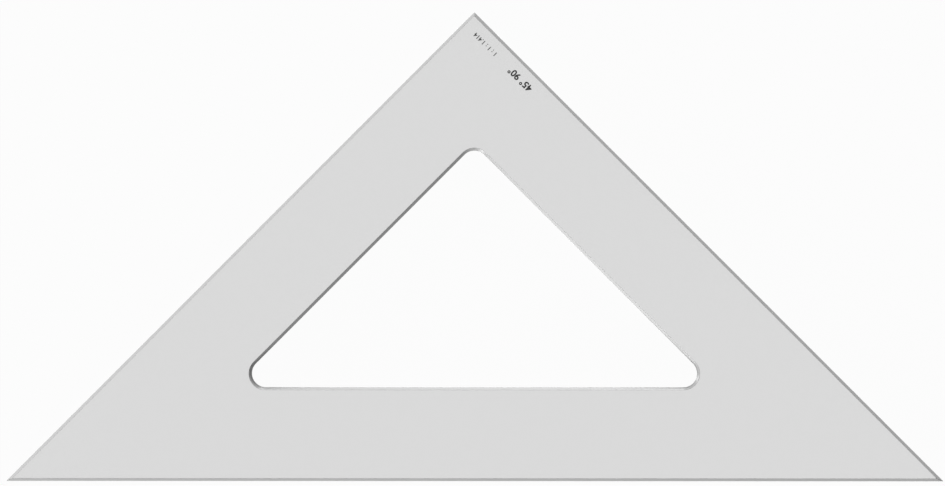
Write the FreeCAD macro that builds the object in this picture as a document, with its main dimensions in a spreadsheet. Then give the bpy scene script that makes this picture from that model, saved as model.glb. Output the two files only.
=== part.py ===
import FreeCAD, Part
import math
import os

import Sketcher

# A plain 45 degree set square: one triangular plate of cast acrylic with a triangular window.
# It lies flat with its underside at z = 0, its hypotenuse along X on the -Y side and its right
# angle at +Y. The origin is under the middle of the plate's bounding box. Sizes are millimetres.

doc = FreeCAD.newDocument("SetSquare")


# --- Driving dimensions -------------------------------------------------------------------

DRIVING_DIMENSIONS = {
    "hypotenuse": 420,             # tip to tip, along the long edge
    "plate_thickness": 3,          # the sheet that the plate is cut from
    "band_width": 42,              # from each outer edge to the window, square to the edge
    "window_corner_radius": 6.25,  # left by the cutter that mills the window
    "edge_bevel": 1.2,             # 45 degree bevel on the top edges, outside and in the window
}

sheet = doc.addObject("Spreadsheet::Sheet", "Dimensions")
for row, (alias, millimetres) in enumerate(DRIVING_DIMENSIONS.items(), start=1):
    sheet.set(f"A{row}", alias)
    sheet.set(f"B{row}", str(millimetres))
    sheet.setAlias(f"B{row}", alias)
doc.recompute()


# --- Triangles ------------------------------------------------------------------------------

# A sketch's own numbers for its origin, its Y axis and the two ends of a line.
ORIGIN_POINT = (-1, 1)
Y_AXIS = -2
START, END = 1, 2


def base_plane(body, role):
    """One of the body's own origin planes."""
    for feature in body.Origin.OriginFeatures:
        if feature.Role == role:
            return feature
    raise ValueError(f"{body.Label} has no {role}")


def add_right_triangle(sketch, half_base, base_y):
    """Close a right isosceles triangle over a level base: one base line, then its two legs.

    Its right angle is above the middle of the base. half_base and base_y only start the solver
    near the answer, and the caller's two named constraints give the size and the place.
    """
    left_tip = FreeCAD.Vector(-half_base, base_y, 0)
    right_tip = FreeCAD.Vector(half_base, base_y, 0)
    right_angle = FreeCAD.Vector(0, base_y + half_base, 0)
    base = sketch.addGeometry(Part.LineSegment(left_tip, right_tip), False)
    right_leg = sketch.addGeometry(Part.LineSegment(right_tip, right_angle), False)
    left_leg = sketch.addGeometry(Part.LineSegment(right_angle, left_tip), False)
    sketch.addConstraint([
        Sketcher.Constraint("Coincident", base, END, right_leg, START),
        Sketcher.Constraint("Coincident", right_leg, END, left_leg, START),
        Sketcher.Constraint("Coincident", left_leg, END, base, START),
        Sketcher.Constraint("Perpendicular", right_leg, left_leg),
        Sketcher.Constraint("Symmetric", base, START, base, END, Y_AXIS),
        Sketcher.Constraint("PointOnObject", right_leg, END, Y_AXIS),
    ])
    return base, right_leg


def bind_height(sketch, line, point, name, expression, start_value):
    """Hold a point of the sketch at a height over the origin that the sheet works out."""
    index = sketch.addConstraint(
        Sketcher.Constraint("DistanceY", *ORIGIN_POINT, line, point, start_value)
    )
    sketch.renameConstraint(index, name)
    sketch.setExpression(f"Constraints.{name}", expression)


# --- Plate ------------------------------------------------------------------------------------

plate = doc.addObject("PartDesign::Body", "AcrylicPlate")
plate.Label = "acrylic_plate"

hypotenuse = DRIVING_DIMENSIONS["hypotenuse"]
band_width = DRIVING_DIMENSIONS["band_width"]

# The triangle's height is half its hypotenuse, so its bounding box is centred when the base lies
# a quarter of the hypotenuse below the origin and the right angle as far above it.
outline = plate.newObject("Sketcher::SketchObject", "Outline")
outline.AttachmentSupport = [(base_plane(plate, "XY_Plane"), "")]
outline.MapMode = "FlatFace"
base, leg = add_right_triangle(outline, hypotenuse / 2, -hypotenuse / 4)
bind_height(outline, base, START, "base_height", "-Dimensions.hypotenuse / 4", -hypotenuse / 4)
bind_height(outline, leg, END, "right_angle_height", "Dimensions.hypotenuse / 4", hypotenuse / 4)

blank = plate.newObject("PartDesign::Pad", "SheetBlank")
blank.Profile = outline
blank.setExpression("Length", "Dimensions.plate_thickness")
outline.Visibility = False
doc.recompute()
blank_volume = blank.Shape.Volume

# The window's sides run parallel to the plate's at the band's width. At the right angle the
# corner moves in by the diagonal of a square whose side is the band's width.
window_outline = plate.newObject("Sketcher::SketchObject", "WindowOutline")
window_outline.AttachmentSupport = [(base_plane(plate, "XY_Plane"), "")]
window_outline.MapMode = "FlatFace"
window_base_y = -hypotenuse / 4 + band_width
window_top_y = hypotenuse / 4 - band_width * math.sqrt(2)
base, leg = add_right_triangle(window_outline, window_top_y - window_base_y, window_base_y)
bind_height(
    window_outline, base, START, "base_height",
    "-Dimensions.hypotenuse / 4 + Dimensions.band_width", window_base_y,
)
bind_height(
    window_outline, leg, END, "right_angle_height",
    "Dimensions.hypotenuse / 4 - Dimensions.band_width * sqrt(2)", window_top_y,
)

window = plate.newObject("PartDesign::Pocket", "Window")
window.Profile = window_outline
window.Type = "ThroughAll"
window.Reversed = True  # the sketch lies on the underside, so the cut goes up through the sheet
window_outline.Visibility = False
doc.recompute()
if not window.Shape.Volume < blank_volume:
    raise RuntimeError("the window didn't cut the sheet")


TOLERANCE = 1e-6


def edge_names(shape, wanted):
    """Names of the edges whose ends pass the test, as the dress-up features take them."""
    return [
        f"Edge{number}"
        for number, edge in enumerate(shape.Edges, start=1)
        if wanted([vertex.Point for vertex in edge.Vertexes])
    ]


def is_window_corner(ends):
    """An upright edge inside the plate's own outline, where two sides of the window meet."""
    first, last = ends[0], ends[-1]
    upright = math.hypot(last.x - first.x, last.y - first.y) < TOLERANCE
    above_base = first.y + hypotenuse / 4 > TOLERANCE
    under_legs = hypotenuse / 4 - first.y - abs(first.x) > TOLERANCE
    return upright and above_base and under_legs


def is_top_edge(ends):
    """An edge of the upper face, straight or round, of the outline or of the window."""
    return all(abs(point.z - sheet.plate_thickness) < TOLERANCE for point in ends)


# The cutter leaves its radius in the window's three corners.
rounded_window = plate.newObject("PartDesign::Fillet", "RoundedWindow")
corners = edge_names(window.Shape, is_window_corner)
if len(corners) != 3:
    raise RuntimeError(f"the window has {len(corners)} corners")
rounded_window.Base = (window, corners)
rounded_window.setExpression("Radius", "Dimensions.window_corner_radius")
doc.recompute()

# One bevel runs round the outline and round the window on the upper side, so a pen's tip stays
# clear of the edge and the edge is easy to lift. The underside keeps its square corners.
bevelled_plate = plate.newObject("PartDesign::Chamfer", "BevelledPlate")
bevelled_plate.Base = (rounded_window, edge_names(rounded_window.Shape, is_top_edge))
bevelled_plate.ChamferType = "Equal distance"
bevelled_plate.setExpression("Size", "Dimensions.edge_bevel")
plate.Tip = bevelled_plate
doc.recompute()


# --- Checks and export ----------------------------------------------------------------------

for item in doc.Objects:
    if {"Invalid", "Error"} & set(item.State):
        raise RuntimeError(f"{item.Label} failed: {item.State}")

os.makedirs("parts", exist_ok=True)
for body in [plate]:
    if body.Shape.isNull() or not body.Shape.isValid() or len(body.Shape.Solids) != 1:
        raise RuntimeError(f"{body.Label} is not one valid solid")
    body.Shape.exportStep(f"parts/{body.Label}.step")
    box = body.Shape.BoundBox
    print(
        f"{body.Label}: {box.XLength:.3f} x {box.YLength:.3f} x {box.ZLength:.3f} mm,"
        f" {body.Shape.Volume:.1f} cubic mm, {len(body.Shape.Faces)} faces"
    )
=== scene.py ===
import math

import bmesh
import bpy
from mathutils import Matrix, Vector


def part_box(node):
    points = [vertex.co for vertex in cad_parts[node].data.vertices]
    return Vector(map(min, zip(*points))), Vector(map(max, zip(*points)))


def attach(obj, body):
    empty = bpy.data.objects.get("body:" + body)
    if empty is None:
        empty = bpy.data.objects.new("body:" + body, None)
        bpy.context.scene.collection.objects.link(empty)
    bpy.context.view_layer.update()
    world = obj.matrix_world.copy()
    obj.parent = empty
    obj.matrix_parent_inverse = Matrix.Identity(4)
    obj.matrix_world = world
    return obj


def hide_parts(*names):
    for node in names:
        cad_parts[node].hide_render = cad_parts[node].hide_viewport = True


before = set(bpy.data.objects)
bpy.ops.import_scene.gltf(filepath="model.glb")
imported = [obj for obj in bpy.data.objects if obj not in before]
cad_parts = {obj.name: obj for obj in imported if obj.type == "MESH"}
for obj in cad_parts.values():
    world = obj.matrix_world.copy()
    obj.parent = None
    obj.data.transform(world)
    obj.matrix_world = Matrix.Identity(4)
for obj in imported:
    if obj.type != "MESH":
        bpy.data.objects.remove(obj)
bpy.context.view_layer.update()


# --- Plate ------------------------------------------------------------------------------------
# One sheet of cast acrylic in a light smoke grey, sawn to a right isosceles triangle. A cutter
# opens the window and leaves its own radius in the corners, and a bevel runs round both outlines
# on the upper side. The faces keep the sheet's polish, and bevels and walls stay as milled.

plate_low, plate_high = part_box("acrylic_plate")
sheet_thickness = plate_high.z - plate_low.z
BAND_WIDTH = 0.042  # from each outer edge to the window
EDGE_BEVEL = 0.0012
WINDOW_RADIUS = 0.00625
TIP_RADIUS = 0.00012  # at the outline's three corners
EDGE_SOFTNESS = 0.00006
ARC_STEPS = 24
TIP_ANGLE = math.radians(45)
POLISHED, MILLED = 0, 1  # the plate's two material slots


class Corner:
    """A corner of the outline. The window's corner opens the same way, further in."""

    def __init__(self, x, y, opens_towards, inside_angle):
        self.point = Vector((x, y, 0))
        self.opens_towards = Vector((math.cos(opens_towards), math.sin(opens_towards), 0))
        self.half_angle = inside_angle / 2
        self.turn = math.pi - inside_angle

    def centre(self, inset, radius, height):
        """Where the arc is centred that rounds the outline inset from the edge."""
        reach = (inset + radius) / math.sin(self.half_angle)
        return self.point + self.opens_towards * reach + Vector((0, 0, height))

    def arc(self, bm, inset, radius, height):
        """Spins that arc, and gives its two ends."""
        centre = self.centre(inset, radius, height)
        to_first = Matrix.Rotation(-self.turn / 2, 3, "Z") @ -self.opens_towards
        first = bm.verts.new(centre + to_first * radius)
        spun = bmesh.ops.spin(
            bm, geom=[first], cent=centre, axis=(0, 0, 1), angle=self.turn, steps=ARC_STEPS,
        )
        last = next(item for item in spun["geom_last"] if isinstance(item, bmesh.types.BMVert))
        return first, last


corners = [
    Corner(plate_low.x, plate_low.y, TIP_ANGLE / 2, TIP_ANGLE),
    Corner(plate_high.x, plate_low.y, math.pi - TIP_ANGLE / 2, TIP_ANGLE),
    Corner(0, plate_high.y, -math.pi / 2, math.pi / 2),
]


def carry(bm, ring, here, there, finish):
    """Extrudes a ring from one station of the section to the next, and gives the new ring."""
    grown = bmesh.ops.extrude_edge_only(bm, edges=ring)["geom"]
    verts = {item for item in grown if isinstance(item, bmesh.types.BMVert)}
    nearest = {v: min(corners, key=lambda corner: (v.co - corner.point).length) for v in verts}
    radius_growth = there.y / here.y
    for corner in corners:
        arc = [v for v in verts if nearest[v] is corner]
        centre, new_centre = corner.centre(*here), corner.centre(*there)
        around = Matrix.Translation(-centre)
        bmesh.ops.scale(bm, vec=(radius_growth, radius_growth, 1), space=around, verts=arc)
        bmesh.ops.translate(bm, vec=new_centre - centre, verts=arc)
    for face in grown:
        if isinstance(face, bmesh.types.BMFace):
            face.material_index = finish
    return [e for e in grown if isinstance(e, bmesh.types.BMEdge) and verts.issuperset(e.verts)]


# The band's section, from the underside's outer edge up, over the top and down in the window.
# Each point is the inset from the outer edge, the corners' radius there, and the height.
bevel_foot = sheet_thickness - EDGE_BEVEL
sharp_section = [
    Vector((0, TIP_RADIUS, 0)),
    Vector((0, TIP_RADIUS, bevel_foot)),
    Vector((EDGE_BEVEL, TIP_RADIUS, sheet_thickness)),
    Vector((BAND_WIDTH - EDGE_BEVEL, WINDOW_RADIUS + EDGE_BEVEL, sheet_thickness)),
    Vector((BAND_WIDTH, WINDOW_RADIUS, bevel_foot)),
    Vector((BAND_WIDTH, WINDOW_RADIUS, 0)),
]

# No edge is a knife's: each has a hair's breadth of rounding, which catches the light.
section = []
for number, edge in enumerate(sharp_section):
    before = sharp_section[number - 1]
    after = sharp_section[(number + 1) % len(sharp_section)]
    start = edge + (before - edge).normalized() * EDGE_SOFTNESS
    end = edge + (after - edge).normalized() * EDGE_SOFTNESS
    section += [start, (start + edge * 2 + end) / 4, end]

bm = bmesh.new()
arcs = [corner.arc(bm, *section[0]) for corner in corners]
for (_, last), (first, _) in zip(arcs, arcs[1:] + arcs[:1]):
    bm.edges.new((last, first))
ring = list(bm.edges)
for here, there in zip(section, section[1:] + section[:1]):
    level = here.z == there.z
    ring = carry(bm, ring, here, there, POLISHED if level else MILLED)
bmesh.ops.remove_doubles(bm, verts=bm.verts, dist=TIP_RADIUS / 100)
bmesh.ops.recalc_face_normals(bm, faces=bm.faces)
plate_mesh = bpy.data.meshes.new("set_square_plate")
bm.to_mesh(plate_mesh)
bm.free()
plate_mesh.shade_smooth()
plate = bpy.data.objects.new("set_square_plate", plate_mesh)
bpy.context.scene.collection.objects.link(plate)
flat_faces = plate.modifiers.new("flat_faces", "WEIGHTED_NORMAL")
flat_faces.keep_sharp = False


class Output:
    """A node's output. Operators on it add Math nodes, and [name] is the node's other outputs."""

    def __init__(self, nodes, socket):
        self.nodes = nodes
        self.socket = socket

    def __getitem__(self, name):
        return Output(self.nodes, self.socket.node.outputs[name])

    def maths(self, operation, *values):
        return self.nodes.add("ShaderNodeMath", dict(enumerate(values)), operation=operation)

    def __add__(self, other):
        return self.maths("ADD", self, other)

    def __radd__(self, other):
        return self.maths("ADD", other, self)

    def __sub__(self, other):
        return self.maths("SUBTRACT", self, other)

    def __rsub__(self, other):
        return self.maths("SUBTRACT", other, self)

    def __mul__(self, other):
        return self.maths("MULTIPLY", self, other)

    def __rmul__(self, other):
        return self.maths("MULTIPLY", other, self)

    def __abs__(self):
        return self.maths("ABSOLUTE", self)


class Nodes:
    """The nodes of a material or of the world."""

    def __init__(self, owner):
        owner.use_nodes = True
        self.owner = owner
        self.tree = owner.node_tree
        self.tree.nodes.clear()

    def add(self, kind, inputs=None, **settings):
        """Adds a node, sets what it holds, then fills its inputs with values or links."""
        node = self.tree.nodes.new(kind)
        for name, value in settings.items():
            setattr(node, name, value)
        for name, value in (inputs or {}).items():
            if isinstance(value, Output):
                self.tree.links.new(value.socket, node.inputs[name])
            else:
                node.inputs[name].default_value = value
        return Output(self, node.outputs[0]) if node.outputs else None

    def noise(self, place, cell, detail=0.0, turn=0.0):
        """Smooth noise whose features are about cell (x, y, z) in size, turned about Z."""
        spot = self.add("ShaderNodeMapping", {
            "Vector": place, "Rotation": (0, 0, turn), "Scale": cell,
        }, vector_type="TEXTURE")
        return self.add("ShaderNodeTexNoise", {"Vector": spot, "Scale": 1.0, "Detail": detail})

    def ramp(self, value, start, end):
        """0 at start and before it, 1 at end and past it, and a smooth change between them."""
        return self.add("ShaderNodeMapRange", {
            "Value": value, "From Min": start, "From Max": end,
        }, interpolation_type="SMOOTHSTEP")


# The tint is in the sheet's depth: straight through, it takes nearly three tenths of the light.
ACRYLIC_IOR = 1.49
SMOKE_TINT = (0.5, 0.5, 0.5, 1)
SMOKE_DENSITY = 226


def smoke(nodes):
    return nodes.add("ShaderNodeVolumeAbsorption", {
        "Color": SMOKE_TINT, "Density": SMOKE_DENSITY,
    })


# Polished faces: glossy, a little hazed where hands and paper rub, with a few hairline scratches
# in worn patches. A scratch is the thin line where a long, narrow noise passes its middle value.
POLISH_ROUGHNESS = 0.02
HAZE_CELL = (0.06, 0.06, 1)
SCRATCH_CELL = (0.05, 0.0035, 1)
SCRATCH_SHARPNESS = 60
SCRATCH_SETS = ((0.35, 0.031), (1.45, 0.043), (2.4, 0.037))  # each a direction and a patch size
WAVE_CELL = (0.045, 0.045, 1)
WAVE_HEIGHT = 8e-6

polished = Nodes(bpy.data.materials.new("polished_acrylic"))
place = polished.add("ShaderNodeTexCoord")["Object"]
scratches = 0.0
for turn, patch in SCRATCH_SETS:
    contour = abs(polished.noise(place, SCRATCH_CELL, turn=turn) - 0.5) * SCRATCH_SHARPNESS
    line = polished.ramp(contour, start=1.0, end=0.0)
    patches = polished.noise(place, (patch, patch, 1), detail=1.0)
    worn = polished.ramp(patches, start=0.5, end=0.62)
    scratches = line * worn + scratches
haze = polished.ramp(polished.noise(place, HAZE_CELL, detail=3.0), start=0.35, end=0.7)
wave = polished.noise(place, WAVE_CELL)
bump = polished.add("ShaderNodeBump", {"Height": wave * WAVE_HEIGHT, "Distance": 1.0})
surface = polished.add("ShaderNodeBsdfPrincipled", {
    "Base Color": (1, 1, 1, 1), "IOR": ACRYLIC_IOR, "Transmission Weight": 1.0,
    "Roughness": POLISH_ROUGHNESS + haze * 0.04 + scratches * 0.06, "Normal": bump,
})
polished.add("ShaderNodeOutputMaterial", {"Surface": surface, "Volume": smoke(polished)})

# Milled bevels and walls: matt and pale where the cutter has passed, with its fine upright ticks.
MILLED_SHADE = 0.38
MILLED_ROUGHNESS = 0.4
TICK_CELL = (0.0004, 0.0004, 0.02)
TICK_DEPTH = 6e-6
PASS_CELL = (0.02, 0.02, 0.02)

milled = Nodes(bpy.data.materials.new("milled_acrylic"))
place = milled.add("ShaderNodeTexCoord")["Object"]
ticks = milled.noise(place, TICK_CELL, detail=2.0)
passes = milled.noise(place, PASS_CELL, detail=2.0)
bump = milled.add("ShaderNodeBump", {"Height": ticks * TICK_DEPTH, "Distance": 1.0})
surface = milled.add("ShaderNodeBsdfPrincipled", {
    "Base Color": MILLED_SHADE + ticks * 0.05 + passes * 0.04, "IOR": ACRYLIC_IOR,
    "Transmission Weight": 0.08, "Roughness": MILLED_ROUGHNESS + ticks * 0.1, "Normal": bump,
})
milled.add("ShaderNodeOutputMaterial", {"Surface": surface, "Volume": smoke(milled)})

plate_mesh.materials.append(polished.owner)
plate_mesh.materials.append(milled.owner)
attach(plate, "root")
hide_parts("acrylic_plate")


# --- Printed figures ----------------------------------------------------------------------------
# The square's angles, screen printed in black ink on the upper face beside the right leg. Nearer
# the right angle the ratio of its sides is printed thin and grey. Both read from that leg's side.

INK_THICKNESS = 0.00001
INK_CELL = (0.0003, 0.0003, 0.0003)
FIGURE_SHARE = 0.729  # a figure's height, as a share of the type's size
FIGURES_TO_LEG = 0.0066
READING_TURN = math.radians(135)
along_leg = Vector((1, -1, 0)).normalized()
into_plate = Vector((-1, -1, 0)).normalized()
right_angle = Vector((0, plate_high.y, plate_high.z))


def ink_finish(name, shade, mottle):
    """Dried printing ink: matt, with the uneven cover that a screen leaves."""
    ink = Nodes(bpy.data.materials.new(name))
    place = ink.add("ShaderNodeTexCoord")["Object"]
    cover = ink.noise(place, INK_CELL, detail=2.0)
    surface = ink.add("ShaderNodeBsdfPrincipled", {
        "Base Color": shade + cover * mottle, "Roughness": 0.45 + cover * 0.2,
    })
    ink.add("ShaderNodeOutputMaterial", {"Surface": surface})
    return ink


def printed(name, words, ink, height, stroke, to_corner):
    """Prints words along the leg, with their middle to_corner away from the right angle."""
    curve = bpy.data.curves.new(name, "FONT")
    curve.body = words
    curve.align_x, curve.align_y = "CENTER", "CENTER"
    curve.size = height / FIGURE_SHARE
    curve.offset = stroke
    curve.extrude = INK_THICKNESS / 2
    curve.resolution_u = 4
    letters = bpy.data.objects.new(name + "_type", curve)
    mesh = bpy.data.meshes.new_from_object(letters)
    mesh.name = name
    bpy.data.objects.remove(letters)
    centre = right_angle + along_leg * to_corner + into_plate * FIGURES_TO_LEG
    lift = Vector((0, 0, INK_THICKNESS / 2))
    mesh.transform(Matrix.Translation(centre + lift) @ Matrix.Rotation(READING_TURN, 4, "Z"))
    bm = bmesh.new()
    bm.from_mesh(mesh)
    bmesh.ops.remove_doubles(bm, verts=bm.verts, dist=INK_THICKNESS / 10)
    bmesh.ops.dissolve_degenerate(bm, dist=INK_THICKNESS / 10, edges=bm.edges)
    bmesh.ops.recalc_face_normals(bm, faces=bm.faces)
    bm.to_mesh(mesh)
    bm.free()
    mesh.materials.clear()
    mesh.materials.append(ink.owner)
    print_piece = bpy.data.objects.new(name, mesh)
    bpy.context.scene.collection.objects.link(print_piece)
    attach(print_piece, "root")


black_ink = ink_finish("black_ink", shade=0.01, mottle=0.02)
thin_ink = ink_finish("thin_grey_ink", shade=0.08, mottle=0.2)
printed(
    "angle_figures", "45\N{DEGREE SIGN} 90\N{DEGREE SIGN}", black_ink,
    height=0.0032, stroke=0.00013, to_corner=0.0358,
)
printed(
    "side_figures", "1 : 1 : 1.414", thin_ink,
    height=0.0021, stroke=0.00006, to_corner=0.0138,
)


# --- Floor --------------------------------------------------------------------------------------
# A sheet of matt white card that the square lies on, wide enough to fill every view. Seen
# directly it is nearly as bright as the room, and it is left out of a view from underneath.

CARD_SIZE = 12.0
CARD_GAP = 0.00005
CARD_WHITE = (0.92, 0.92, 0.92, 1)
CARD_GLOW = 0.96

bm = bmesh.new()
bmesh.ops.create_grid(bm, x_segments=1, y_segments=1, size=CARD_SIZE / 2)
bmesh.ops.translate(bm, vec=(0, 0, plate_low.z - CARD_GAP), verts=bm.verts)
floor_mesh = bpy.data.meshes.new("white_card")
bm.to_mesh(floor_mesh)
bm.free()
floor = bpy.data.objects.new("white_card", floor_mesh)
bpy.context.scene.collection.objects.link(floor)


def seen(nodes):
    """1 for a ray that shows a thing to the eye, straight, mirrored or through the acrylic."""
    ray = nodes.add("ShaderNodeLightPath")
    mirrored_or_through = ray.maths("MAXIMUM", ray["Is Glossy Ray"], ray["Is Transmission Ray"])
    return ray.maths("MAXIMUM", ray["Is Camera Ray"], mirrored_or_through)


card = Nodes(bpy.data.materials.new("matt_white_card"))
matt = card.add("ShaderNodeBsdfDiffuse", {"Color": CARD_WHITE})
glow = card.add("ShaderNodeEmission", {"Color": (1, 1, 1, 1), "Strength": 1.0})
upper_side = card.add("ShaderNodeMixShader", {0: seen(card) * CARD_GLOW, 1: matt, 2: glow})
from_below = card.add("ShaderNodeNewGeometry")["Backfacing"]
clear = card.add("ShaderNodeBsdfTransparent")
surface = card.add("ShaderNodeMixShader", {0: from_below, 1: upper_side, 2: clear})
card.add("ShaderNodeOutputMaterial", {"Surface": surface})
floor_mesh.materials.append(card.owner)


# --- Room and lamps -----------------------------------------------------------------------------
# An evenly lit white room, and three small lamps that stand low over the card, behind the square
# and on its left. They graze it, so that the bevels show which way they face.

ROOM_LIGHT = 0.21
LAMP_SIZE = 0.25
LAMP_DISTANCE = 3.2
LAMP_ELEVATION = math.radians(3)

scene = bpy.context.scene
scene.view_settings.view_transform = "Standard"
scene.world = bpy.data.worlds.new("white_room")
room = Nodes(scene.world)
dim = room.add("ShaderNodeBackground", {"Color": (1, 1, 1, 1), "Strength": ROOM_LIGHT})
white = room.add("ShaderNodeBackground", {"Color": (1, 1, 1, 1), "Strength": 1.0})
walls = room.add("ShaderNodeMixShader", {0: seen(room), 1: dim, 2: white})
room.add("ShaderNodeOutputWorld", {"Surface": walls})


def low_lamp(name, azimuth, watts):
    """A square area lamp that faces the square. Azimuth 0 is +X and 90 is +Y."""
    lamp = bpy.data.lights.new(name, "AREA")
    lamp.shape = "SQUARE"
    lamp.size = LAMP_SIZE
    lamp.energy = watts
    along_card = Vector((math.cos(math.radians(azimuth)), math.sin(math.radians(azimuth)), 0))
    towards = along_card * math.cos(LAMP_ELEVATION) + Vector((0, 0, math.sin(LAMP_ELEVATION)))
    holder = bpy.data.objects.new(name, lamp)
    holder.location = towards * LAMP_DISTANCE
    holder.rotation_euler = towards.to_track_quat("Z", "Y").to_euler()
    scene.collection.objects.link(holder)


low_lamp("back_lamp", azimuth=82, watts=95)
low_lamp("left_lamp", azimuth=161, watts=92)
low_lamp("left_front_lamp", azimuth=237, watts=106)


# --- Camera -------------------------------------------------------------------------------------
# A long lens, almost straight above and a little to the right, so that the square lies flat in
# the picture and nearly fills it.

LENS = 600  # millimetres, as is the sensor
SENSOR = 36
IMAGE_WIDTH = 945
PIXELS_PER_METRE = 2232
LEAN = math.radians(2)
AIM = Vector((-0.00088, 0.00164, 0))  # what is in the middle of the picture

distance = IMAGE_WIDTH * LENS / SENSOR / PIXELS_PER_METRE
turn = Matrix.Rotation(LEAN, 4, "Y")
camera_data = bpy.data.cameras.new("camera")
camera_data.lens = LENS
camera_data.sensor_width = SENSOR
camera_data.clip_end = 2 * distance
camera = bpy.data.objects.new("camera", camera_data)
camera.location = AIM + turn.col[2].to_3d() * distance
camera.rotation_euler = turn.to_euler()
scene.collection.objects.link(camera)
scene.camera = camera
